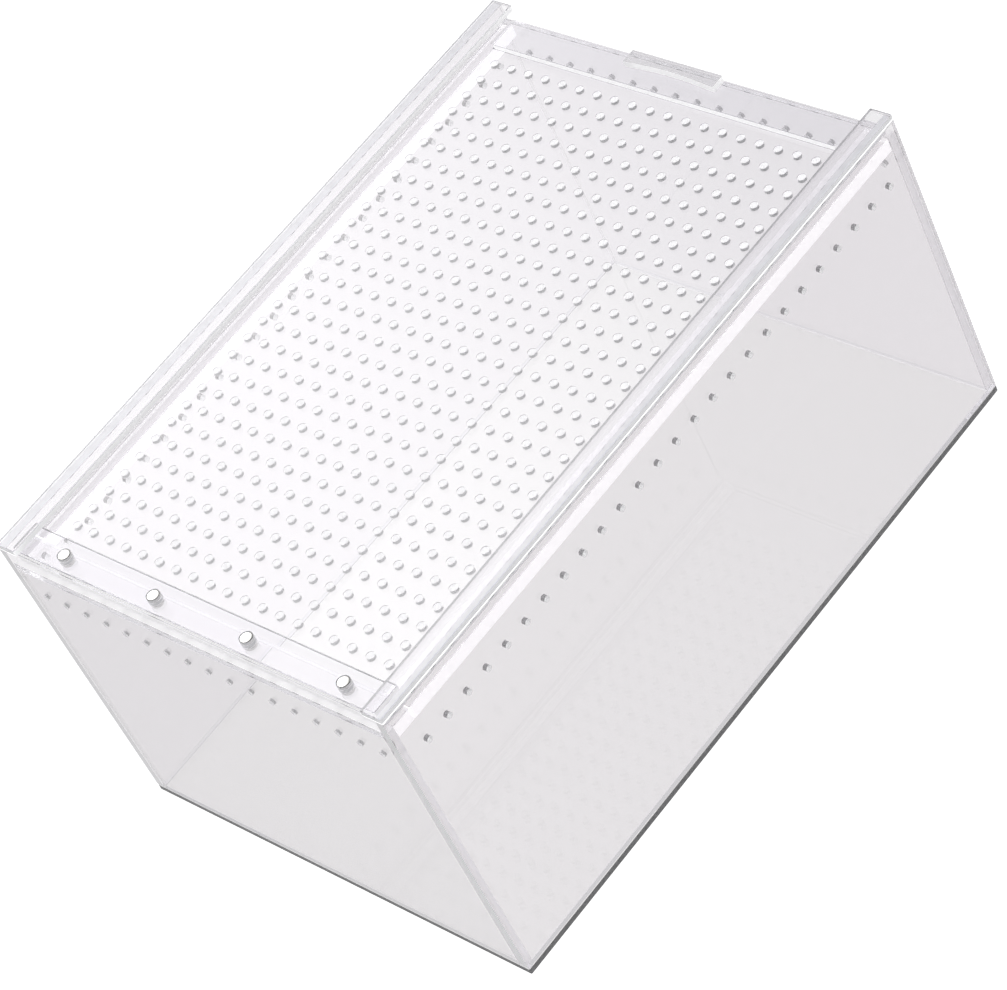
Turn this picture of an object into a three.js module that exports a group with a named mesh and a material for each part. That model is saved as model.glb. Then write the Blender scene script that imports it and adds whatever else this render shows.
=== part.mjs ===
// Clear acrylic reptile terrarium with a perforated lid that slides off along its grooves.
// Millimetres, +Z up, origin in the middle of the base's underside.
// +Y is the pull end, where the lid leaves the box, and -Y is the magnet end.
import * as THREE from 'three';

// The box as a whole, over the outer faces of its walls and rails
const boxLength = 300;
const boxWidth = 200;
const boxHeight = 150;

// Sheet thicknesses, and the solvent joint left between two glued sheets
const wallThickness = 4;
const baseThickness = 3;
const capThickness = 3;
const lidThickness = 3;
const magnetBarThickness = 2.5;
const pullBarThickness = 2.5;
const tabThickness = 3;
const glueLine = 0.1;

// Side rails: a cap over each side wall and a ledge inside it, with the lid's groove between them
const capWidth = 10;
const ledgeWidth = 7;
const ledgeHeight = 6;
const magnetLedgeWidth = 8.5;
const ledgeEndGap = 0.3;

// Running clearances of the lid
const lidUndersideGap = 0.3;
const lidSideGap = 2;
const magnetBarTopGap = 0.4;
const lidEndOverlap = 1.7;

// Bars and finger tab on the lid
const magnetBarWidth = 13.2;
const magnetBarCornerRadius = 1;
const pullBarWidth = 14.5;
const pullBarSideGap = 2.4;
const pullBarEndSetback = 1.7;
const pullBarCornerRadius = 2;
const tabLength = 45;
const tabDepth = 6.5;
const tabScoop = 1.3;
const tabEndSetback = 0.3;

// Square grid of air holes in the lid
const lidHoleDiameter = 4;
const lidHolePitch = 9;
const lidHoleSideMargin = 13;
const lidHoleMagnetEndMargin = 7.5;
const lidHolePullEndMargin = 6.5;

// One row of air holes near the top of each wall
const wallHoleDiameter = 3;
const wallHolePitch = 11;
const wallHoleDrop = 25.5;
const sideWallHoleMargin = 12.5;
const endWallHoleMargin = 8;

// Disc magnets, one row in the lid and one under it
const magnetDiameter = 5;
const magnetBoreGap = 0.2;
const magnetSideMargin = 21.25;
const lidMagnetHeight = 5;
const ledgeMagnetHeight = 3;
const magnetCount = 4;

// Sides of the faceted holes and discs, and the steps of the tab's scoop
const lidHoleSides = 4;
const wallHoleSides = 6;
const magnetSides = 16;
const cornerSteps = 4;
const scoopSteps = 8;

// Heights, worked down from the top of the box
const capUnderside = boxHeight - capThickness;
const sideWallTop = capUnderside - glueLine;
const magnetBarTop = capUnderside - magnetBarTopGap;
const lidTop = magnetBarTop - magnetBarThickness - glueLine;
const lidUnderside = lidTop - lidThickness;
const ledgeTop = lidUnderside - lidUndersideGap;
const endWallTop = ledgeTop;
const wallFoot = baseThickness + glueLine;
const wallHoleHeight = boxHeight - wallHoleDrop;

// Plan sizes that several pieces share
const insideHalfWidth = boxWidth / 2 - wallThickness;
const insideHalfLength = boxLength / 2 - wallThickness;
const lidHalfWidth = insideHalfWidth - lidSideGap;
const lidHalfLength = insideHalfLength + lidEndOverlap;
const magnetBarInnerEdge = -lidHalfLength + magnetBarWidth;
const magnetRow = -lidHalfLength + magnetBarWidth / 2;
const pullBarOuterEdge = lidHalfLength - pullBarEndSetback;
const pullBarInnerEdge = pullBarOuterEdge - pullBarWidth;
const magnetBore = magnetDiameter + 2 * magnetBoreGap;

function acrylic(colour) {
  return new THREE.MeshStandardMaterial({
    color: colour,
    roughness: 0.06,
    metalness: 0,
    transparent: true,
    opacity: 0.4,
  });
}

function nickel() {
  return new THREE.MeshStandardMaterial({ color: '#d8d9da', roughness: 0.22, metalness: 1 });
}

const tankAcrylic = '#e2e4e6';
const baseAcrylic = '#d3d5d8';
const lidAcrylic = '#eceef2';

// Outline of a rectangle between two corners
function rectangle(left, low, right, high) {
  const shape = new THREE.Shape();
  shape.moveTo(left, low);
  shape.lineTo(right, low);
  shape.lineTo(right, high);
  shape.lineTo(left, high);
  shape.closePath();
  return shape;
}

// Outline of a rectangle whose four corners are rounded
function roundedRectangle(left, low, right, high, radius) {
  const corners = [
    [right - radius, high - radius],
    [left + radius, high - radius],
    [left + radius, low + radius],
    [right - radius, low + radius],
  ];
  const points = [];
  corners.forEach(([x, y], quarter) => {
    for (let step = 0; step <= cornerSteps; step += 1) {
      const angle = ((quarter + step / cornerSteps) * Math.PI) / 2;
      points.push(new THREE.Vector2(x + radius * Math.cos(angle), y + radius * Math.sin(angle)));
    }
  });
  return new THREE.Shape(points);
}

// Regular polygon for a hole or a disc, with one corner towards +X
function polygon(x, y, diameter, sides) {
  const points = [];
  for (let side = 0; side < sides; side += 1) {
    const angle = (side * 2 * Math.PI) / sides;
    const px = x + (diameter / 2) * Math.cos(angle);
    const py = y + (diameter / 2) * Math.sin(angle);
    points.push(new THREE.Vector2(px, py));
  }
  return points;
}

function cutHole(shape, x, y, diameter, sides) {
  shape.holes.push(new THREE.Path(polygon(x, y, diameter, sides)));
}

// Places that fill a span at a pitch, centred on it
function evenPlaces(from, to, pitch) {
  const roundingShare = 1e-6;
  const gaps = Math.floor((to - from) / pitch + roundingShare);
  const first = (from + to - gaps * pitch) / 2;
  return Array.from({ length: gaps + 1 }, (_, index) => first + index * pitch);
}

// Places across the lid, the outer two at a set distance from its side edges
function magnetPlaces() {
  const halfRow = lidHalfWidth - magnetSideMargin;
  const pitch = (2 * halfRow) / (magnetCount - 1);
  return Array.from({ length: magnetCount }, (_, index) => index * pitch - halfRow);
}

function extruded(name, shape, thickness, material) {
  const geometry = new THREE.ExtrudeGeometry(shape, { depth: thickness, bevelEnabled: false });
  const mesh = new THREE.Mesh(geometry, material);
  mesh.name = name;
  return mesh;
}

// A sheet that lies flat, with its underside at a given height
function flatSheet(name, shape, thickness, underside, material) {
  const mesh = extruded(name, shape, thickness, material);
  mesh.position.z = underside;
  return mesh;
}

// A sheet that stands along Y, drawn as Y across and Z up, from lowX towards +X
function sheetAlongY(name, shape, thickness, lowX, material) {
  const mesh = extruded(name, shape, thickness, material);
  mesh.rotation.set(Math.PI / 2, Math.PI / 2, 0);
  mesh.position.x = lowX;
  return mesh;
}

// A sheet that stands along X, drawn as X across and Z up, from highY towards -Y
function sheetAlongX(name, shape, thickness, highY, material) {
  const mesh = extruded(name, shape, thickness, material);
  mesh.rotation.set(Math.PI / 2, 0, 0);
  mesh.position.y = highY;
  return mesh;
}

function basePlate() {
  const shape = rectangle(-boxWidth / 2, -boxLength / 2, boxWidth / 2, boxLength / 2);
  return flatSheet('base_plate', shape, baseThickness, 0, acrylic(baseAcrylic));
}

// Each side wall runs the whole length and reaches up to the cap
function sideWall(name, lowX) {
  const shape = rectangle(-boxLength / 2, wallFoot, boxLength / 2, sideWallTop);
  const halfRow = boxLength / 2 - sideWallHoleMargin;
  evenPlaces(-halfRow, halfRow, wallHolePitch).forEach((y) => {
    cutHole(shape, y, wallHoleHeight, wallHoleDiameter, wallHoleSides);
  });
  return sheetAlongY(name, shape, wallThickness, lowX, acrylic(tankAcrylic));
}

// Each end wall stands between the side walls and stops just under the lid
function endWall(name, highY) {
  const halfWidth = insideHalfWidth - glueLine;
  const shape = rectangle(-halfWidth, wallFoot, halfWidth, endWallTop);
  const halfRow = insideHalfWidth - endWallHoleMargin;
  evenPlaces(-halfRow, halfRow, wallHolePitch).forEach((x) => {
    cutHole(shape, x, wallHoleHeight, wallHoleDiameter, wallHoleSides);
  });
  return sheetAlongX(name, shape, wallThickness, highY, acrylic(tankAcrylic));
}

// Strip under the lid's long edge, glued inside a side wall
function sideLedge(name, side) {
  const wallFace = side * (insideHalfWidth - glueLine);
  const innerEdge = side * (insideHalfWidth - ledgeWidth);
  const magnetEnd = -insideHalfLength + magnetLedgeWidth + ledgeEndGap;
  const pullEnd = insideHalfLength - ledgeEndGap;
  const left = Math.min(wallFace, innerEdge);
  const right = Math.max(wallFace, innerEdge);
  const shape = rectangle(left, magnetEnd, right, pullEnd);
  return flatSheet(name, shape, ledgeHeight, ledgeTop - ledgeHeight, acrylic(tankAcrylic));
}

// Wider strip across the magnet end, bored for the fixed magnets
function magnetLedge() {
  const halfWidth = insideHalfWidth - glueLine;
  const wallFace = -insideHalfLength + glueLine;
  const innerEdge = -insideHalfLength + magnetLedgeWidth;
  const shape = rectangle(-halfWidth, wallFace, halfWidth, innerEdge);
  magnetPlaces().forEach((x) => cutHole(shape, x, magnetRow, magnetBore, magnetSides));
  return flatSheet('magnet_ledge', shape, ledgeHeight, ledgeTop - ledgeHeight, acrylic(tankAcrylic));
}

// Cap glued on a side wall, which overhangs the lid's edge
function railCap(name, side) {
  const outerEdge = side * (boxWidth / 2);
  const innerEdge = side * (boxWidth / 2 - capWidth);
  const left = Math.min(outerEdge, innerEdge);
  const right = Math.max(outerEdge, innerEdge);
  const shape = rectangle(left, -boxLength / 2, right, boxLength / 2);
  return flatSheet(name, shape, capThickness, capUnderside, acrylic(tankAcrylic));
}

function lidPanel() {
  const shape = rectangle(-lidHalfWidth, -lidHalfLength, lidHalfWidth, lidHalfLength);
  const halfRow = lidHalfWidth - lidHoleSideMargin;
  const firstRow = magnetBarInnerEdge + lidHoleMagnetEndMargin;
  const lastRow = pullBarInnerEdge - lidHolePullEndMargin;
  evenPlaces(firstRow, lastRow, lidHolePitch).forEach((y) => {
    evenPlaces(-halfRow, halfRow, lidHolePitch).forEach((x) => {
      cutHole(shape, x, y, lidHoleDiameter, lidHoleSides);
    });
  });
  magnetPlaces().forEach((x) => cutHole(shape, x, magnetRow, magnetBore, magnetSides));
  return flatSheet('lid_panel', shape, lidThickness, lidUnderside, acrylic(lidAcrylic));
}

// Strip glued over the lid's magnet end, whose ends run under the caps
function lidMagnetBar() {
  const radius = Math.min(magnetBarCornerRadius, magnetBarWidth / 2);
  const low = -lidHalfLength;
  const shape = roundedRectangle(-lidHalfWidth, low, lidHalfWidth, magnetBarInnerEdge, radius);
  magnetPlaces().forEach((x) => cutHole(shape, x, magnetRow, magnetBore, magnetSides));
  const underside = lidTop + glueLine;
  return flatSheet('lid_magnet_bar', shape, magnetBarThickness, underside, acrylic(lidAcrylic));
}

// Strip glued over the lid's pull end, which passes between the caps
function lidPullBar() {
  const halfWidth = boxWidth / 2 - capWidth - pullBarSideGap;
  const radius = Math.min(pullBarCornerRadius, pullBarWidth / 2);
  const shape = roundedRectangle(-halfWidth, pullBarInnerEdge, halfWidth, pullBarOuterEdge, radius);
  const underside = lidTop + glueLine;
  return flatSheet('lid_pull_bar', shape, pullBarThickness, underside, acrylic(lidAcrylic));
}

// Finger tab on the pull bar, scooped along the edge that the fingertips press
function pullTab() {
  const outer = pullBarOuterEdge - tabEndSetback;
  const inner = outer - tabDepth;
  const points = [new THREE.Vector2(tabLength / 2, outer), new THREE.Vector2(-tabLength / 2, outer)];
  for (let step = 0; step <= scoopSteps; step += 1) {
    const share = step / scoopSteps;
    const x = (share - 1 / 2) * tabLength;
    points.push(new THREE.Vector2(x, inner + tabScoop * Math.sin(Math.PI * share)));
  }
  const underside = lidTop + pullBarThickness + 2 * glueLine;
  return flatSheet('pull_tab', new THREE.Shape(points), tabThickness, underside, acrylic(lidAcrylic));
}

// Disc magnet whose top face lies at a given height
function magnet(name, x, height, top) {
  const shape = new THREE.Shape(polygon(x, magnetRow, magnetDiameter, magnetSides));
  return flatSheet(name, shape, height, top - height, nickel());
}

function tank() {
  const group = new THREE.Group();
  group.add(basePlate());
  group.add(sideWall('left_wall', -boxWidth / 2));
  group.add(sideWall('right_wall', boxWidth / 2 - wallThickness));
  group.add(endWall('magnet_end_wall', -boxLength / 2 + wallThickness));
  group.add(endWall('pull_end_wall', boxLength / 2));
  group.add(sideLedge('left_ledge', -1));
  group.add(sideLedge('right_ledge', 1));
  group.add(magnetLedge());
  group.add(railCap('left_rail_cap', -1));
  group.add(railCap('right_rail_cap', 1));
  magnetPlaces().forEach((x, index) => {
    group.add(magnet(`ledge_magnet_${index + 1}`, x, ledgeMagnetHeight, ledgeTop));
  });
  return group;
}

function lid() {
  const group = new THREE.Group();
  group.add(lidPanel());
  group.add(lidMagnetBar());
  group.add(lidPullBar());
  group.add(pullTab());
  magnetPlaces().forEach((x, index) => {
    group.add(magnet(`lid_magnet_${index + 1}`, x, lidMagnetHeight, magnetBarTop));
  });
  return group;
}

const terrarium = new THREE.Group();
terrarium.add(tank());
terrarium.add(lid());

export default terrarium;
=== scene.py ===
# Clear acrylic reptile terrarium: glued flat sheets and a perforated lid that slides off.
import math

import bmesh
import bpy
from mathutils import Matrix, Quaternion, Vector, geometry


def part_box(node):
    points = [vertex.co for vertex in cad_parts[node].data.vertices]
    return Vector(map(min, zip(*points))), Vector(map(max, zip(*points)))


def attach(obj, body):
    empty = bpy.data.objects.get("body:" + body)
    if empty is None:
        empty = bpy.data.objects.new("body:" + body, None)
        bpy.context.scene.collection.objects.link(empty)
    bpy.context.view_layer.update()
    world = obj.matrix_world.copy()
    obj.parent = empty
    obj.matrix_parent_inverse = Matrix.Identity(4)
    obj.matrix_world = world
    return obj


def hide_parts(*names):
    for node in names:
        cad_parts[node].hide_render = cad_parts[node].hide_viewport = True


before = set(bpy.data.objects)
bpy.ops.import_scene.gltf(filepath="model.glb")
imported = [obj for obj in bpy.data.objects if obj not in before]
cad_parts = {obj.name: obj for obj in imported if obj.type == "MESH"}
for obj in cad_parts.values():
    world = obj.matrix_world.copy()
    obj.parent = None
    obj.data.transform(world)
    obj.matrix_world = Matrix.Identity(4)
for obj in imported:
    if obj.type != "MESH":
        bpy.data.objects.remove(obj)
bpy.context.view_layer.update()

# Base plate
# One 3 mm sheet of clear cast acrylic under the whole box. Its four edges are left as the saw cut
# them, so they are matt, and they are painted dark as shade, as they stand in the shade near the
# floor. The walls are solvent-welded on top of it.
MM = 0.001
GLUE_LINE = 0.1
CHAMFER = 0.2
HOLE_CHAMFER = 0.1
CORNER_STEPS = 6
BASE_CORNER = 0.5
SHARP_ANGLE = 30
PLACE_TOLERANCE = 0.01
MERGE_TOLERANCE = 1e-5
JOINT_REACH = 2 * GLUE_LINE
FACE, EDGE, HOLE_WALL = range(3)
ACRYLIC_IOR = 1.49
BOUNCES = 24
LAST_BOUNCE = BOUNCES + 0.5
DEEP_GLOW = 0.72
GLOW_COLOUR = "#fdfcfd"
SHEET_SHADE = "#f4f4f5"
EDGE_SHADE = "#f0f0f1"
SAG_SPAN = 45.0
SAG_DETAIL = 1.0
SAG_STRENGTH = 0.02
SAW_SPAN = 1.1
SAW_DETAIL = 3.0
SAW_STRENGTH = 0.3
SURFACE_DEPTH = 0.02


def linear(hex_colour):
    """An sRGB colour such as #f4f3f4 as the linear values that a socket takes."""
    channels = [int(hex_colour[k : k + 2], 16) / 255 for k in (1, 3, 5)]
    return [c / 12.92 if c <= 0.04045 else ((c + 0.055) / 1.055) ** 2.4 for c in channels] + [1]


def add_node(tree, kind, settings=None, **inputs):
    """One shader node with its settings. Each input, named or _0, _1, ... by its place, is a value
    or a socket to link."""
    node = tree.nodes.new(kind)
    for key, value in (settings or {}).items():
        setattr(node, key, value)
    for key, value in inputs.items():
        socket = node.inputs[int(key[1:]) if key[1:].isdigit() else key.replace("_", " ")]
        if isinstance(value, bpy.types.NodeSocket):
            tree.links.new(value, socket)
        else:
            socket.default_value = value
    return node


def new_material(name):
    """An empty material and its node tree. Its glow isn't a lamp, so it is left out of the lamps."""
    material = bpy.data.materials.new(name)
    material.use_nodes = True
    material.node_tree.nodes.clear()
    material.cycles.emission_sampling = "NONE"
    return material, material.node_tree


def surface_bump(tree, span, detail, strength):
    """Unevenness of a face, with features of the given size in mm."""
    where = add_node(tree, "ShaderNodeTexCoord")
    grain = add_node(
        tree, "ShaderNodeTexNoise", Vector=where.outputs["Object"], Scale=1 / (span * MM), Detail=detail
    )
    return add_node(
        tree, "ShaderNodeBump", Strength=strength, Distance=SURFACE_DEPTH * MM, Height=grain.outputs["Fac"]
    )


def acrylic_body(tree, bump, colour, roughness, through, glow=0.0):
    """Acrylic. glow stands in for the light that a sheet leads to its cut edges, and light that is
    still trapped in a sheet after the last bounce takes the brightness of the room."""
    path = add_node(tree, "ShaderNodeLightPath")
    last = add_node(
        tree,
        "ShaderNodeMath",
        {"operation": "GREATER_THAN"},
        _0=path.outputs["Ray Depth"],
        _1=LAST_BOUNCE,
    )
    strength = add_node(
        tree, "ShaderNodeMath", {"operation": "MULTIPLY_ADD"}, _0=last.outputs[0], _1=DEEP_GLOW, _2=glow
    )
    return add_node(
        tree,
        "ShaderNodeBsdfPrincipled",
        Base_Color=linear(colour),
        Roughness=roughness,
        IOR=ACRYLIC_IOR,
        Transmission_Weight=through,
        Normal=bump.outputs[0],
        Emission_Color=linear(GLOW_COLOUR),
        Emission_Strength=strength.outputs[0],
    )


def finish_acrylic(tree, body, shade):
    """Lets the rays that carry shadows through, so that what lies behind a sheet is lit."""
    path = add_node(tree, "ShaderNodeLightPath")
    open_way = add_node(tree, "ShaderNodeBsdfTransparent", Color=linear(shade))
    surface = add_node(
        tree,
        "ShaderNodeMixShader",
        _0=path.outputs["Is Shadow Ray"],
        _1=body.outputs[0],
        _2=open_way.outputs[0],
    )
    add_node(tree, "ShaderNodeOutputMaterial", Surface=surface.outputs[0])


def cast_acrylic(name, colour):
    """Clear sheet with mirror-smooth faces that sag by a hair over the length of a finger."""
    material, tree = new_material(name)
    bump = surface_bump(tree, SAG_SPAN, SAG_DETAIL, SAG_STRENGTH)
    body = acrylic_body(tree, bump, colour, roughness=0.0, through=1.0)
    finish_acrylic(tree, body, SHEET_SHADE)
    return material


def cut_edge(name, outer, inner):
    """A cut face with painted light and shade, one copy seen from the air and one from inside the sheet."""
    material, tree = new_material(name)
    bump = surface_bump(tree, SAW_SPAN, SAW_DETAIL, SAW_STRENGTH)
    outside = acrylic_body(tree, bump, **outer)
    inside = acrylic_body(tree, bump, **inner)
    side = add_node(tree, "ShaderNodeNewGeometry")
    body = add_node(
        tree,
        "ShaderNodeMixShader",
        _0=side.outputs["Backfacing"],
        _1=outside.outputs[0],
        _2=inside.outputs[0],
    )
    finish_acrylic(tree, body, EDGE_SHADE)
    return material


def solvent_joint(name, colour):
    """Welded faces: the two sheets have grown together, so light passes without bending."""
    material, tree = new_material(name)
    clear = add_node(tree, "ShaderNodeBsdfTransparent", Color=linear(colour))
    add_node(tree, "ShaderNodeOutputMaterial", Surface=clear.outputs[0])
    return material


# Gives the eye a clear, faintly grey floor that takes a tenth of the light behind it.
base_sheet = cast_acrylic("base_cast_acrylic", "#f2f1f1")
# Gives the eye the dark grey line round the foot of the box: painted shade on the matt sawn edge.
base_edge = cut_edge(
    "base_sawn_edge_painted_shade",
    outer=dict(colour="#585859", roughness=0.4, through=0.3),
    inner=dict(colour="#f4f3f4", roughness=0.1, through=1.0),
)
# Gives the eye nothing but a hair of grey where two sheets are welded.
joint = solvent_joint("solvent_welded_joint", "#fbfbfc")


def box_mm(node):
    """The lowest and highest corners of a CAD node, in mm."""
    low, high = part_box(node)
    return low / MM, high / MM


def arc(centre, radius, quarter):
    """Points of one quarter of a circle, the first quarter starting along the first axis."""
    turns = [math.pi / 2 * (quarter + step / CORNER_STEPS) for step in range(CORNER_STEPS + 1)]
    return [(centre[0] + radius * math.cos(turn), centre[1] + radius * math.sin(turn)) for turn in turns]


def flat_outline(node, axis, radius):
    """The CAD sheet's outline with round corners, as a function that gives its points, drawn in by
    a chamfer."""
    low, high = box_mm(node)
    u, v = [k for k in range(3) if k != axis]
    corners = ((high[u], high[v]), (low[u], high[v]), (low[u], low[v]), (high[u], low[v]))
    inward = ((-radius, -radius), (radius, -radius), (radius, radius), (-radius, radius))

    def points(inset):
        made = []
        for quarter, (corner, step) in enumerate(zip(corners, inward)):
            centre = (corner[0] + step[0], corner[1] + step[1])
            made += arc(centre, radius - inset, quarter)
        return made

    return points


def contact(node, other):
    """Where two glued sheets meet: the axis across the joint, its place and the shared corners."""
    low, high = box_mm(node)
    other_low, other_high = box_mm(other)
    shared_low = [max(low[k], other_low[k]) for k in range(3)]
    shared_high = [min(high[k], other_high[k]) for k in range(3)]
    for axis in range(3):
        for place, facing in ((low[axis], other_high[axis]), (high[axis], other_low[axis])):
            if abs(place - facing) < JOINT_REACH:
                return axis, place, shared_low, shared_high
    raise ValueError(f"{node} and {other} don't meet")


def joint_patch(node, other, axis, margin):
    """Corners of the welded patch on a sheet's face, or none if the weld is on an edge."""
    joint_axis, _, low, high = contact(node, other)
    if joint_axis != axis:
        return []
    own_low, own_high = box_mm(node)
    across = [k for k in range(3) if k != axis]
    u0, v0 = (max(low[k], own_low[k] + margin) for k in across)
    u1, v1 = (min(high[k], own_high[k] - margin) for k in across)
    return [(u0, v0), (u1, v0), (u1, v1), (u0, v1)]


def glue(piece, node, others, index):
    """Gives the joint's material to the faces that are glued to other sheets."""
    for other in others:
        axis, place, low, high = contact(node, other)
        for face in piece.data.polygons:
            centre = face.center / MM
            heights = [piece.data.vertices[vertex].co[axis] / MM for vertex in face.vertices]
            flat = all(abs(height - place) < PLACE_TOLERANCE for height in heights)
            inside = all(low[k] < centre[k] < high[k] for k in range(3) if k != axis)
            if flat and inside:
                face.material_index = index


def new_piece(name, mesh, materials):
    """A mesh as an object of the scene, with its materials and with sharp corners kept sharp."""
    bmesh.ops.recalc_face_normals(mesh, faces=mesh.faces)
    data = bpy.data.meshes.new(name)
    mesh.to_mesh(data)
    mesh.free()
    data.shade_smooth()
    data.set_sharp_from_angle(angle=math.radians(SHARP_ANGLE))
    for material in materials:
        data.materials.append(material)
    piece = bpy.data.objects.new(name, data)
    bpy.context.scene.collection.objects.link(piece)
    return piece


def make_sheet(node, axis, outline, materials, holes=(), glued_to=(), chamfer=CHAMFER):
    """A flat sheet with chamfered edges and holes, as large as its CAD node. axis is the one across
    the sheet. materials are those of its faces with their chamfers, of its edges, of its holes' walls
    and of its glued joints."""
    low, high = box_mm(node)
    across = [k for k in range(3) if k != axis]
    mesh = bmesh.new()

    def vertex(point, height):
        place = [0, 0, 0]
        place[across[0]], place[across[1]], place[axis] = point[0] * MM, point[1] * MM, height * MM
        return mesh.verts.new(place)

    # Rings of points round the outline and each hole, from the underside up over both chamfers
    flat_points, ring_of, edges, under, over = [], [], [], [], []
    for number, ring in enumerate([outline, *holes]):
        cut = HOLE_CHAMFER if number else chamfer
        levels = (
            (cut, low[axis]),
            (0, low[axis] + cut),
            (0, high[axis] - cut),
            (cut, high[axis]),
        )
        layers = [[vertex(point, height) for point in ring(inset)] for inset, height in levels]
        count = len(layers[0])
        bands = (FACE, HOLE_WALL if number else EDGE, FACE)
        for band, lower, upper in zip(bands, layers, layers[1:]):
            for k in range(count):
                quad = (lower[k], lower[(k + 1) % count], upper[(k + 1) % count], upper[k])
                mesh.faces.new(quad).material_index = band
        start = len(flat_points)
        flat_points += ring(cut)
        ring_of += [number] * count
        edges += [(start + k, start + (k + 1) % count) for k in range(count)]
        under += layers[0]
        over += layers[-1]
    for other in glued_to:
        patch = joint_patch(node, other, axis, chamfer + GLUE_LINE)
        start = len(flat_points)
        flat_points += patch
        ring_of += [None] * len(patch)
        edges += [(start + k, start + (k + 1) % len(patch)) for k in range(len(patch))]

    # Both faces are filled between the rings. Triangles with all corners on one hole are left open.
    found, _, triangles, origins, _, _ = geometry.delaunay_2d_cdt(
        [Vector(point) for point in flat_points], edges, [], 1, MERGE_TOLERANCE
    )
    for side, height in ((under, low[axis]), (over, high[axis])):
        corner = []
        for point, origin in zip(found, origins):
            ring_points = [k for k in origin if k < len(side)]
            corner.append(side[ring_points[0]] if ring_points else vertex(point, height))
        for triangle in triangles:
            rings = {ring_of[origins[k][0]] if origins[k] else None for k in triangle}
            open_hole = len(rings) == 1 and not rings & {None, 0}
            if not open_hole:
                mesh.faces.new([corner[k] for k in triangle])
    piece = new_piece(f"{node}_sheet", mesh, materials)
    glue(piece, node, glued_to, len(materials) - 1)
    return piece


def dress(piece, node, body):
    """Puts a piece in place of its CAD node, on the body that carries it."""
    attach(piece, body)
    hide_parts(node)


base = make_sheet(
    "base_plate",
    axis=2,
    outline=flat_outline("base_plate", 2, BASE_CORNER),
    materials=[base_sheet, base_edge, base_sheet, joint],
    glued_to=["left_wall", "right_wall", "magnet_end_wall", "pull_end_wall"],
)
dress(base, "base_plate", "tank")

# Side walls
# Two 4 mm sheets of clear cast acrylic over the full length, with scraped satin edges and one row
# of drilled air holes each. They are solvent-welded to the base plate.
WALL_CORNER = 0.4
WALL_HOLE = 2.5
WALL_HOLE_PITCH = 11.0
WALL_HOLE_HEIGHT = 124.5
SIDE_HOLES = 26
HOLE_SIDES = 24

# Gives the eye a clear sheet with a trace of lavender that takes a tenth of the light behind it.
wall_sheet = cast_acrylic("wall_cast_acrylic", "#f3f1f3")
# Gives the eye a soft light grey strip on the wall's ends.
wall_edge = cut_edge(
    "satin_wall_edge",
    outer=dict(colour="#dad9db", roughness=0.4, through=0.3),
    inner=dict(colour="#f8f7f8", roughness=0.2, through=1.0),
)
# Gives the eye a dark dot with a pale ring. The drill leaves the hole's wall dull, and its inside
# copy is painted dark grey as shade.
wall_hole_painted_shade = cut_edge(
    "drilled_wall_hole",
    outer=dict(colour="#f8f8f8", roughness=0.4, through=0.6),
    inner=dict(colour="#747476", roughness=0.2, through=0.2),
)
# Gives the eye a light grey band under the cap: the cement has turned the wall's top milky, and a
# painted glow lightens it.
milky_weld_and_glow = cut_edge(
    "milky_wall_top_and_glow",
    outer=dict(colour="#ebebed", roughness=0.4, through=0.1, glow=0.16),
    inner=dict(colour="#fafafa", roughness=0.3, through=0.3, glow=0.2),
)


def round_hole(u, v, diameter, sides):
    """A hole's outline as a function that gives its points, widened by a chamfer."""

    def points(inset):
        reach = diameter / 2 + inset
        turns = [2 * math.pi * side / sides for side in range(sides)]
        return [(u + reach * math.cos(turn), v + reach * math.sin(turn)) for turn in turns]

    return points


def row(count, pitch):
    """Evenly spaced places on both sides of the middle."""
    return [(k - (count - 1) / 2) * pitch for k in range(count)]


for side in ("left", "right"):
    node = f"{side}_wall"
    wall = make_sheet(
        node,
        axis=0,
        outline=flat_outline(node, 0, WALL_CORNER),
        materials=[wall_sheet, wall_edge, wall_hole_painted_shade, joint],
        holes=[
            round_hole(y, WALL_HOLE_HEIGHT, WALL_HOLE, HOLE_SIDES) for y in row(SIDE_HOLES, WALL_HOLE_PITCH)
        ],
        glued_to=["base_plate"],
    )
    wall.data.materials.append(milky_weld_and_glow)
    glue(wall, node, [f"{side}_rail_cap"], len(wall.data.materials) - 1)
    dress(wall, node, "tank")

# End walls
# Two 4 mm sheets of clear cast acrylic between the side walls, with one row of drilled air holes
# each. They are solvent-welded to the base plate, and their satin edges butt against the side walls.
END_HOLES = 17

# Gives the eye a light grey strip behind the side wall at each corner of the box, lit by a painted glow.
end_edge = cut_edge(
    "satin_end_wall_edge",
    outer=dict(colour="#f6f5f6", roughness=0.4, through=0.3, glow=0.16),
    inner=dict(colour="#f8f7f8", roughness=0.2, through=1.0),
)
# Gives the eye a small grey dot, paler than in the side walls: its inside copy is painted shade.
end_hole = cut_edge(
    "drilled_end_hole",
    outer=dict(colour="#f8f8f8", roughness=0.4, through=0.6),
    inner=dict(colour="#c0c0c2", roughness=0.2, through=0.2),
)

for end in ("magnet", "pull"):
    node = f"{end}_end_wall"
    wall = make_sheet(
        node,
        axis=1,
        outline=flat_outline(node, 1, WALL_CORNER),
        materials=[wall_sheet, end_edge, end_hole, joint],
        holes=[
            round_hole(x, WALL_HOLE_HEIGHT, WALL_HOLE, HOLE_SIDES) for x in row(END_HOLES, WALL_HOLE_PITCH)
        ],
        glued_to=["base_plate"] + (["magnet_ledge"] if end == "magnet" else []),
    )
    dress(wall, node, "tank")

# Side ledges
# Two strips of 6 mm clear acrylic on the inside of the side walls, which the lid's long edges slide
# on. Each is cemented to its wall along the outer edge.
LEDGE_CORNER = 0.4

# Gives the eye a clear strip with hardly any tint.
ledge_sheet = cast_acrylic("ledge_cast_acrylic", "#fcfbfc")
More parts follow.
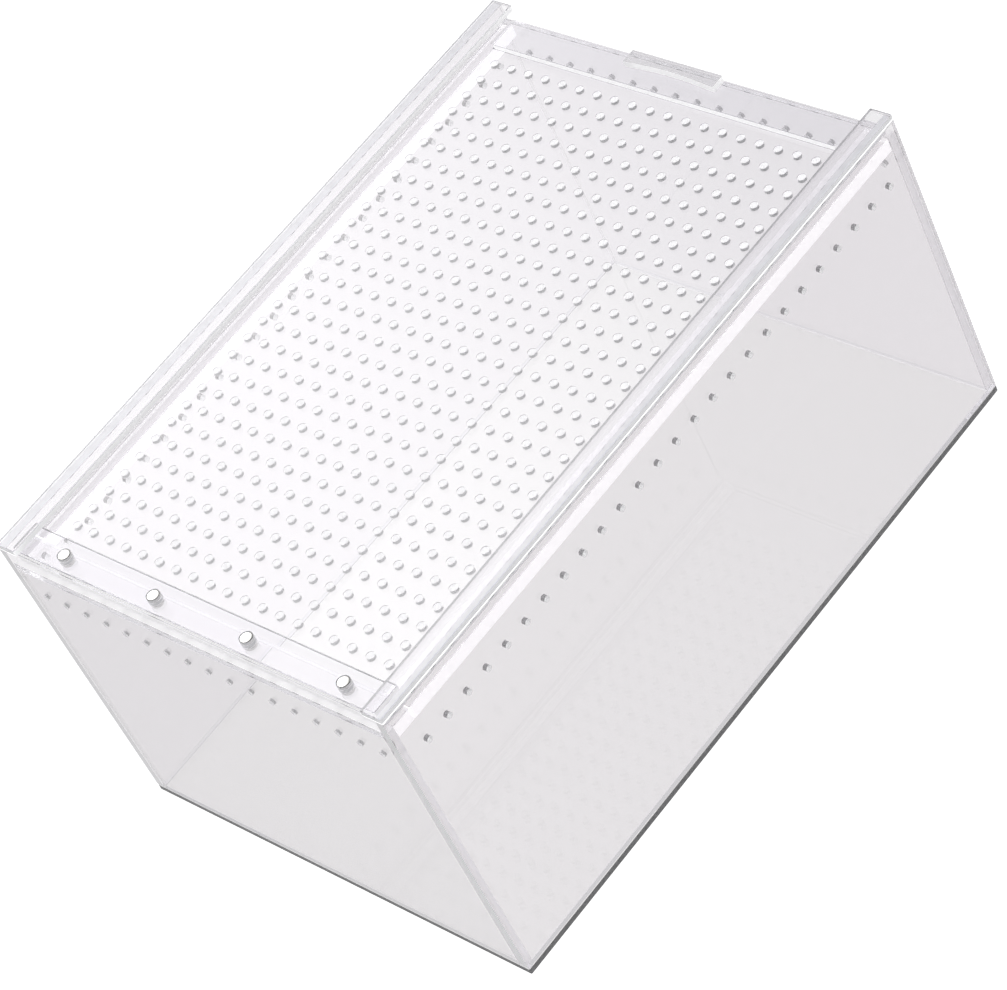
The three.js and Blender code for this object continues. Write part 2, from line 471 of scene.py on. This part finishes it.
# Gives the eye a bright white band through the wall: the cement has left the edge milky, and a
# painted glow makes it bright.
glued_edge = cut_edge(
    "milky_cemented_edge_and_glow",
    outer=dict(colour="#fefefe", roughness=0.4, through=0.1, glow=0.46),
    inner=dict(colour="#fafafa", roughness=0.3, through=0.3, glow=0.3),
)

for side in ("left", "right"):
    node = f"{side}_ledge"
    ledge = make_sheet(
        node,
        axis=2,
        outline=flat_outline(node, 2, LEDGE_CORNER),
        materials=[ledge_sheet, glued_edge],
    )
    dress(ledge, node, "tank")

# Magnet ledge
# A wider strip of the same acrylic across the end with the magnets, welded to the end wall, with
# four bores that hold the fixed magnets.
MAGNET_BORE = 5.4
MAGNET_PITCH = 48.5
MAGNET_COUNT = 4
MAGNET_SIDES = 48
bar_low, bar_high = box_mm("lid_magnet_bar")
magnet_line = (bar_low.y + bar_high.y) / 2
bores = [round_hole(x, magnet_line, MAGNET_BORE, MAGNET_SIDES) for x in row(MAGNET_COUNT, MAGNET_PITCH)]

magnet_ledge = make_sheet(
    "magnet_ledge",
    axis=2,
    outline=flat_outline("magnet_ledge", 2, LEDGE_CORNER),
    materials=[ledge_sheet, glued_edge, joint, joint],
    holes=bores,
    glued_to=["magnet_end_wall"],
)
dress(magnet_ledge, "magnet_ledge", "tank")

# Fixed magnets
# Four nickel-plated disc magnets of 5 mm, glued into the bores of the magnet ledge. They hold the
# lid shut.
MAGNET_RIM = 0.3
RIM_STEPS = 4
NICKEL_COLOUR = "#d9d8d5"
SMOOTHEST = 0.16
ROUGHEST = 0.3
GRAIN_SPAN = 0.67
GRAIN_DETAIL = 2.0


def nickel_plating(name):
    """Barrel-plated nickel, whose roughness changes a little from grain to grain."""
    material, tree = new_material(name)
    where = add_node(tree, "ShaderNodeTexCoord")
    grain = add_node(
        tree,
        "ShaderNodeTexNoise",
        Vector=where.outputs["Object"],
        Scale=1 / (GRAIN_SPAN * MM),
        Detail=GRAIN_DETAIL,
    )
    rough = add_node(
        tree, "ShaderNodeMapRange", Value=grain.outputs["Fac"], To_Min=SMOOTHEST, To_Max=ROUGHEST
    )
    body = add_node(
        tree,
        "ShaderNodeBsdfPrincipled",
        Base_Color=linear(NICKEL_COLOUR),
        Metallic=1.0,
        Roughness=rough.outputs[0],
    )
    add_node(tree, "ShaderNodeOutputMaterial", Surface=body.outputs[0])
    return material


# Gives the eye a bright warm-grey metal that blurs what it mirrors a little.
nickel = nickel_plating("nickel_plated_magnet")


def magnet_profile(low, high, radius):
    """Distances from the axis and heights, from the middle of one face to that of the other."""
    profile = [(0, low)]
    for height, turn in ((low + MAGNET_RIM, -1), (high - MAGNET_RIM, 0)):
        for step in range(RIM_STEPS + 1):
            angle = math.pi / 2 * (turn + step / RIM_STEPS)
            reach = radius - MAGNET_RIM + MAGNET_RIM * math.cos(angle)
            profile.append((reach, height + MAGNET_RIM * math.sin(angle)))
    return profile + [(0, high)]


def make_magnet(node, body):
    """A disc with a rounded rim in place of a CAD magnet."""
    low, high = box_mm(node)
    centre = (low + high) / 2
    mesh = bmesh.new()
    rings = []
    for reach, height in magnet_profile(low.z, high.z, (high.x - low.x) / 2):
        count = MAGNET_SIDES if reach else 1
        turns = [2 * math.pi * k / count for k in range(count)]
        ring = [(centre.x + reach * math.cos(t), centre.y + reach * math.sin(t), height) for t in turns]
        rings.append([mesh.verts.new(Vector(place) * MM) for place in ring])
    for lower, upper in zip(rings, rings[1:]):
        for k in range(MAGNET_SIDES):
            pairs = [(lower, k), (lower, k + 1), (upper, k + 1), (upper, k)]
            corners = [ring[place % len(ring)] for ring, place in pairs]
            mesh.faces.new(list(dict.fromkeys(corners)))
    dress(new_piece(f"{node}_disc", mesh, [nickel]), node, body)


for number in range(1, MAGNET_COUNT + 1):
    make_magnet(f"ledge_magnet_{number}", "tank")

# Rail caps
# Two strips of 3 mm clear acrylic, welded on top of the side walls and overhanging inwards, so that
# the lid's edges run in a groove under them. Their edges are flame-polished.
CAP_CORNER = 0.5
CAP_CHAMFER = 0.3
# Height in mm of the white glint painted at the foot of the caps' edges
GLINT_HEIGHT = 0.9
# A cap has no holes, so the place of their walls' material goes to the edge over the groove
GROOVE_EDGE = HOLE_WALL
cap_low, cap_high = box_mm("left_rail_cap")
groove_side = abs(cap_high.x) + CAP_CORNER


def edge_with_painted_glint(name, top):
    """A polished edge with a white glint painted at its foot, up to the given height in mm."""
    material, tree = new_material(name)
    bump = surface_bump(tree, SAW_SPAN, SAW_DETAIL, SAW_STRENGTH)
    polished = acrylic_body(tree, bump, "#dbdbdd", roughness=0.2, through=0.3)
    # The white band at the foot is a painted glint that glows
    glint_band = acrylic_body(tree, bump, "#fefefe", roughness=0.4, through=0.1, glow=0.3)
    where = add_node(tree, "ShaderNodeTexCoord")
    place = add_node(tree, "ShaderNodeSeparateXYZ", Vector=where.outputs["Object"])
    foot = add_node(tree, "ShaderNodeMath", {"operation": "LESS_THAN"}, _0=place.outputs["Z"], _1=top * MM)
    body = add_node(
        tree,
        "ShaderNodeMixShader",
        _0=foot.outputs[0],
        _1=polished.outputs[0],
        _2=glint_band.outputs[0],
    )
    finish_acrylic(tree, body, EDGE_SHADE)
    return material


# Gives the eye a clear strip with a faint grey tint.
cap_sheet = cast_acrylic("cap_cast_acrylic", "#f6f5f7")
# Gives the eye a light grey edge with a white line at its foot, which is a painted glint.
cap_edge = edge_with_painted_glint("cap_edge_painted_glint", cap_low.z + GLINT_HEIGHT)
# Gives the eye a soft light grey line over the groove, lightened by a painted glow and with no painted
# glint at its foot. Its inside copy is painted darker as shade.
groove_edge = cut_edge(
    "polished_groove_edge",
    outer=dict(colour="#f4f4f5", roughness=0.2, through=0.3, glow=0.2),
    inner=dict(colour="#c4c4c6", roughness=0.2, through=0.3),
)

for side in ("left", "right"):
    node = f"{side}_rail_cap"
    cap = make_sheet(
        node,
        axis=2,
        outline=flat_outline(node, 2, CAP_CORNER),
        materials=[cap_sheet, cap_edge, groove_edge, joint],
        glued_to=[f"{side}_wall"],
        chamfer=CAP_CHAMFER,
    )
    for face in cap.data.polygons:
        if face.material_index == EDGE and abs(face.center.x) < groove_side * MM:
            face.material_index = GROOVE_EDGE
    dress(cap, node, "tank")

# Lid panel
# One 3 mm sheet of clear cast acrylic that slides in the grooves, with a square grid of laser-cut
# air holes and four bores for the lid's magnets.
LID_CORNER = 0.5
LID_HOLE = 3.3
LID_HOLE_PITCH = 9.0
LID_COLUMNS = 19
LID_ROWS = 29
LID_ROWS_MIDDLE = -1.0

# Gives the eye a very clear sheet with a trace of lavender.
lid_sheet = cast_acrylic("lid_cast_acrylic", "#f8f7f9")
# Gives the eye a soft light line round the lid, lit by a painted glow.
lid_edge = cut_edge(
    "satin_lid_edge",
    outer=dict(colour="#f6f5f6", roughness=0.4, through=0.3, glow=0.1),
    inner=dict(colour="#f8f7f8", roughness=0.2, through=1.0),
)
# Gives the eye a white hole with a grey crescent on the near side, seen through the lid's face. A
# painted glow whitens the hole's wall, and its inside copy is painted grey as shade.
lid_hole_glow_and_shade = cut_edge(
    "laser_cut_lid_hole",
    outer=dict(colour="#fcfcfd", roughness=0.5, through=0.2, glow=0.22),
    inner=dict(colour="#d6d6d8", roughness=0.3, through=0.0),
)

lid_holes = [
    round_hole(x, y + LID_ROWS_MIDDLE, LID_HOLE, HOLE_SIDES)
    for y in row(LID_ROWS, LID_HOLE_PITCH)
    for x in row(LID_COLUMNS, LID_HOLE_PITCH)
]
lid_panel = make_sheet(
    "lid_panel",
    axis=2,
    outline=flat_outline("lid_panel", 2, LID_CORNER),
    materials=[lid_sheet, lid_edge, lid_hole_glow_and_shade, joint],
    holes=lid_holes + bores,
    glued_to=["lid_magnet_bar", "lid_pull_bar"],
)
dress(lid_panel, "lid_panel", "lid")

# Lid magnet bar
# A strip of 2.5 mm clear acrylic welded across the lid's magnet end, with four bores. Its ends run
# under the rail caps.
MAGNET_BAR_CORNER = 1.0

# Gives the eye a water-clear strip that looks white where it lies on the lid.
bar_sheet = cast_acrylic("bar_cast_acrylic", "#fdfcfd")
# Gives the eye a grey ring round each magnet: the bore's wall is painted grey as shade from inside.
bore_wall = cut_edge(
    "drilled_magnet_bore",
    outer=dict(colour="#f4f4f4", roughness=0.1, through=1.0),
    inner=dict(colour="#9a9a9c", roughness=0.3, through=0.3),
)
# Gives the eye a dark line along the bar's far side, where its top shows the edge from inside. That
# inside copy is painted dark grey as shade, and a painted glow lights the edge from the air.
bar_edge = cut_edge(
    "sawn_bar_edge",
    outer=dict(colour="#f6f5f6", roughness=0.4, through=0.3, glow=0.1),
    inner=dict(colour="#a4a4a6", roughness=0.2, through=0.2),
)

magnet_bar = make_sheet(
    "lid_magnet_bar",
    axis=2,
    outline=flat_outline("lid_magnet_bar", 2, MAGNET_BAR_CORNER),
    materials=[bar_sheet, bar_edge, bore_wall, joint],
    holes=bores,
    glued_to=["lid_panel"],
)
dress(magnet_bar, "lid_magnet_bar", "lid")

# Lid magnets
# Four nickel-plated disc magnets of 5 mm, glued into the bores of the magnet bar and the lid, above
# the fixed ones.
for number in range(1, MAGNET_COUNT + 1):
    make_magnet(f"lid_magnet_{number}", "lid")

# Lid pull bar
# A strip of 2.5 mm clear acrylic with rounded ends, welded across the lid's pull end between the
# rail caps. Its edges are flame-polished.
PULL_BAR_CORNER = 2.0
FINE_CHAMFER = 0.1

# Gives the eye a white line: a painted glow stands in for the light that the polished edge gathers.
bright_edge = cut_edge(
    "flame_polished_edge",
    outer=dict(colour="#fefefe", roughness=0.2, through=0.2, glow=0.3),
    inner=dict(colour="#fcfbfc", roughness=0.1, through=1.0),
)

pull_bar = make_sheet(
    "lid_pull_bar",
    axis=2,
    outline=flat_outline("lid_pull_bar", 2, PULL_BAR_CORNER),
    materials=[bar_sheet, bright_edge, bar_sheet, joint],
    glued_to=["lid_panel"],
    chamfer=FINE_CHAMFER,
)
dress(pull_bar, "lid_pull_bar", "lid")

# Pull tab
# A low finger tab of 3 mm clear acrylic, welded on the middle of the pull bar, with a shallow
# scoop along its inner side.
TAB_SCOOP = 1.3
TAB_CORNER = 0.6
SCOOP_STEPS = 24


def scooped_outline(node):
    """The tab's outline as a function that gives its points: two round corners and the scoop."""
    low, high = box_mm(node)

    def points(inset):
        radius = TAB_CORNER - inset
        right = arc((high.x - TAB_CORNER, high.y - TAB_CORNER), radius, 0)
        left = arc((low.x + TAB_CORNER, high.y - TAB_CORNER), radius, 1)
        scoop = []
        for step in range(SCOOP_STEPS + 1):
            along = step / SCOOP_STEPS
            x = low.x + inset + (high.x - low.x - 2 * inset) * along
            scoop.append((x, low.y + inset + TAB_SCOOP * math.sin(math.pi * along)))
        return right + left + scoop

    return points


# Gives the eye a sheet that is a little greyer than the bar under it.
tab_sheet = cast_acrylic("tab_cast_acrylic", "#f1f1f1")
# Gives the eye a light line along the scoop, lit by a painted glow, and a grey outline.
tab_edge = cut_edge(
    "satin_tab_edge",
    outer=dict(colour="#fbfbfc", roughness=0.3, through=0.3, glow=0.18),
    inner=dict(colour="#fcfbfc", roughness=0.1, through=1.0),
)

tab = make_sheet(
    "pull_tab",
    axis=2,
    outline=scooped_outline("pull_tab"),
    materials=[tab_sheet, tab_edge],
    chamfer=FINE_CHAMFER,
)
dress(tab, "pull_tab", "lid")

# Floor
# A plain white floor, a hair under the box, which keeps its soft shadow. The first ray that a sheet
# mirrors finds it darker, as in a room where the light stands above.
FLOOR_HALF = 3.0
FLOOR_DROP = 0.0003
FLOOR_COLOUR = "#b8b8b8"
FLOOR_GLOW = 0.86
FLOOR_THROUGH = 0.97
FLOOR_MIRRORED = 0.6
FIRST_DEPTH_ON_FLOOR = 1.5
WHITE = (1, 1, 1, 1)


def first_mirrored(tree, path, deepest):
    """1 for a ray that a face has mirrored straight after the camera, else 0. Such a ray has a depth
    of 1 where it meets the floor and of 2 where it leaves for the room, so deepest lies just above."""
    early = add_node(
        tree, "ShaderNodeMath", {"operation": "LESS_THAN"}, _0=path.outputs["Ray Depth"], _1=deepest
    )
    glossy = add_node(
        tree,
        "ShaderNodeMath",
        {"operation": "MULTIPLY"},
        _0=early.outputs[0],
        _1=path.outputs["Is Glossy Ray"],
    )
    return add_node(
        tree,
        "ShaderNodeMath",
        {"operation": "SUBTRACT", "use_clamp": True},
        _0=glossy.outputs[0],
        _1=path.outputs["Is Transmission Ray"],
    )


corners = [(x * FLOOR_HALF, y * FLOOR_HALF) for x, y in ((-1, -1), (1, -1), (1, 1), (-1, 1))]
floor_data = bpy.data.meshes.new("floor")
floor_data.from_pydata([(x, y, -FLOOR_DROP) for x, y in corners], [], [(0, 1, 2, 3)])
floor = bpy.data.objects.new("floor", floor_data)
bpy.context.scene.collection.objects.link(floor)
# Gives the eye a white floor that a lamp's shadow still shows on.
material, tree = new_material("white_studio_floor")
path = add_node(tree, "ShaderNodeLightPath")
plain = add_node(tree, "ShaderNodeBsdfDiffuse", Color=linear(FLOOR_COLOUR))
lift = add_node(tree, "ShaderNodeEmission", Color=WHITE, Strength=FLOOR_GLOW)
seen = add_node(tree, "ShaderNodeAddShader", _0=plain.outputs[0], _1=lift.outputs[0])
by_sheet = add_node(
    tree,
    "ShaderNodeMath",
    {"operation": "MAXIMUM"},
    _0=path.outputs["Is Transmission Ray"],
    _1=path.outputs["Is Glossy Ray"],
)
level = add_node(
    tree,
    "ShaderNodeMapRange",
    Value=first_mirrored(tree, path, FIRST_DEPTH_ON_FLOOR).outputs[0],
    To_Min=FLOOR_THROUGH,
    To_Max=FLOOR_MIRRORED,
)
through_sheet = add_node(tree, "ShaderNodeEmission", Color=WHITE, Strength=level.outputs[0])
surface = add_node(
    tree, "ShaderNodeMixShader", _0=by_sheet.outputs[0], _1=seen.outputs[0], _2=through_sheet.outputs[0]
)
add_node(tree, "ShaderNodeOutputMaterial", Surface=surface.outputs[0])
floor_data.materials.append(material)

# Studio
# A white room with one large soft panel on the side away from the camera. The lid mirrors the panel,
# which gives its pale sheen, and the walls mirror the dim rest of the room.
PANEL_AZIMUTH = 84
PANEL_HEIGHT = 38
PANEL_EDGE = 26
PANEL_CORE = 16
PANEL_MIRRORED = 3.5
ROOM_MIRRORED = 0.16
PANEL_THROUGH = 0.48
ROOM_THROUGH = 0.97
ROOM_DIFFUSE = 0.77
BACKDROP = 1.0
FIRST_DEPTH_IN_ROOM = 2.5
world = bpy.data.worlds.new("studio")
bpy.context.scene.world = world
world.use_nodes = True
tree = world.node_tree
tree.nodes.clear()
path = add_node(tree, "ShaderNodeLightPath")
where = add_node(tree, "ShaderNodeTexCoord")
azimuth = math.radians(PANEL_AZIMUTH)
height = math.radians(PANEL_HEIGHT)
panel_way = (-math.sin(azimuth) * math.cos(height), math.cos(azimuth) * math.cos(height), math.sin(height))
nearness = add_node(
    tree, "ShaderNodeVectorMath", {"operation": "DOT_PRODUCT"}, _0=where.outputs["Generated"], _1=panel_way
)
panel = add_node(
    tree,
    "ShaderNodeMapRange",
    {"interpolation_type": "SMOOTHSTEP"},
    Value=nearness.outputs["Value"],
    From_Min=math.cos(math.radians(PANEL_EDGE)),
    From_Max=math.cos(math.radians(PANEL_CORE)),
)
mirrored = add_node(
    tree,
    "ShaderNodeMath",
    {"operation": "MULTIPLY_ADD"},
    _0=panel.outputs[0],
    _1=PANEL_MIRRORED,
    _2=ROOM_MIRRORED,
)
plain_room = add_node(
    tree,
    "ShaderNodeMapRange",
    Value=path.outputs["Is Transmission Ray"],
    To_Min=ROOM_DIFFUSE,
    To_Max=ROOM_THROUGH,
)
through = add_node(
    tree,
    "ShaderNodeMath",
    {"operation": "MULTIPLY_ADD"},
    _0=panel.outputs[0],
    _1=PANEL_THROUGH,
    _2=plain_room.outputs[0],
)
room = add_node(
    tree,
    "ShaderNodeMix",
    {"data_type": "FLOAT"},
    _0=first_mirrored(tree, path, FIRST_DEPTH_IN_ROOM).outputs[0],
    _2=through.outputs[0],
    _3=mirrored.outputs[0],
)
strength = add_node(
    tree,
    "ShaderNodeMix",
    {"data_type": "FLOAT"},
    _0=path.outputs["Is Camera Ray"],
    _2=room.outputs[0],
    _3=BACKDROP,
)
background = add_node(tree, "ShaderNodeBackground", Color=WHITE, Strength=strength.outputs[0])
add_node(tree, "ShaderNodeOutputWorld", Surface=background.outputs[0])

# Camera
# A long lens from above the right wall and the magnet end, rolled as in the photograph. Its place
# and lens were worked out from the box's corners and the lid's grid of holes.
CAMERA_LENS = 140.65
CAMERA_PLACE = (0.93456, -0.55296, 1.07672)
CAMERA_TARGET = (0.00108, -0.00986, 0.06869)
CAMERA_ROLL = 27.92
NEAREST = 0.05
FARTHEST = 20
camera_data = bpy.data.cameras.new("camera")
camera_data.lens = CAMERA_LENS
camera_data.clip_start = NEAREST
camera_data.clip_end = FARTHEST
camera = bpy.data.objects.new("camera", camera_data)
bpy.context.scene.collection.objects.link(camera)
bpy.context.scene.camera = camera
look = (Vector(CAMERA_TARGET) - Vector(CAMERA_PLACE)).to_track_quat("-Z", "Y")
camera.location = CAMERA_PLACE
camera.rotation_mode = "QUATERNION"
camera.rotation_quaternion = look @ Quaternion((0, 0, 1), math.radians(-CAMERA_ROLL))

# Light paths
# A ray crosses up to eight sheets and bounces inside them, so it may turn often. Rays that carry
# shadows go straight through every sheet on their way.
SHADOW_CROSSINGS = 32
scene = bpy.context.scene
scene.view_settings.view_transform = "Standard"
scene.cycles.max_bounces = BOUNCES
scene.cycles.glossy_bounces = BOUNCES
scene.cycles.transmission_bounces = BOUNCES
scene.cycles.transparent_max_bounces = SHADOW_CROSSINGS
